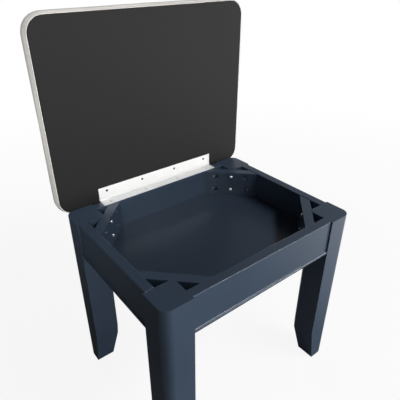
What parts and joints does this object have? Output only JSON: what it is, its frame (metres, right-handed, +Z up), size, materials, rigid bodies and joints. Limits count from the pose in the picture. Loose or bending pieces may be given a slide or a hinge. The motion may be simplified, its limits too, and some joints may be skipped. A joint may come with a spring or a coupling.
{
  "type": "vanity stool",
  "caption": "Vanity stool: painted wooden frame with a storage compartment under a hinged, padded seat, shown with the seat open.",
  "frame": {"origin": "Centre of the open stool's footprint box on the floor: the frame stands a little to the front of it, because the open seat hangs behind the back legs.", "axes": "+X runs to the stool's right along its long side, +Y to the back where the hinge is, +Z up."},
  "size_m": [0.482, 0.4064, 0.7771],
  "materials": {
    "navy_paint": "dark navy satin paint",
    "bare_wood": "bare, sanded",
    "zinc_steel": "zinc plated",
    "nylon": "moulded nylon",
    "white_enamel": "white enamel on steel",
    "black_board": "matt black fibreboard",
    "foam": "open-cell upholstery foam",
    "cream_weave": "close cream weave"
  },
  "bodies": {
    "frame": {"leg_front_left": "navy_paint", "leg_front_right": "navy_paint", "leg_back_left": "navy_paint", "leg_back_right": "navy_paint", "rail_front": "navy_paint", "rail_back": "navy_paint", "rail_left": "navy_paint", "rail_right": "navy_paint", "bead_front": "navy_paint", "bead_back": "navy_paint", "bead_left": "navy_paint", "bead_right": "navy_paint", "brace_front_left": "navy_paint", "brace_front_right": "navy_paint", "brace_back_left": "navy_paint", "brace_back_right": "navy_paint", "compartment_floor": "navy_paint", "cleat_front": "bare_wood", "cleat_back": "bare_wood", "cleat_left": "bare_wood", "cleat_right": "bare_wood", "dowels": "bare_wood", "leg_screws": "zinc_steel", "rail_screws": "zinc_steel", "hinge_frame_screws": "zinc_steel", "hinge_pin": "zinc_steel", "foot_glides": "nylon", "hinge_frame_leaf": "white_enamel"},
    "seat": {"hinge_lid_leaf": "white_enamel", "hinge_lid_screws": "zinc_steel", "lid_panel": "black_board", "seat_board": "bare_wood", "seat_foam": "foam", "seat_cover": "cream_weave"}
  },
  "joints": [
    {"name": "seat_hinge", "type": "hinge", "parent": "frame", "child": "seat", "pos_m": [0, 0.15345, 0.405], "axis": [1, 0, 0], "range_deg": [0, 90.38]}
  ]
}
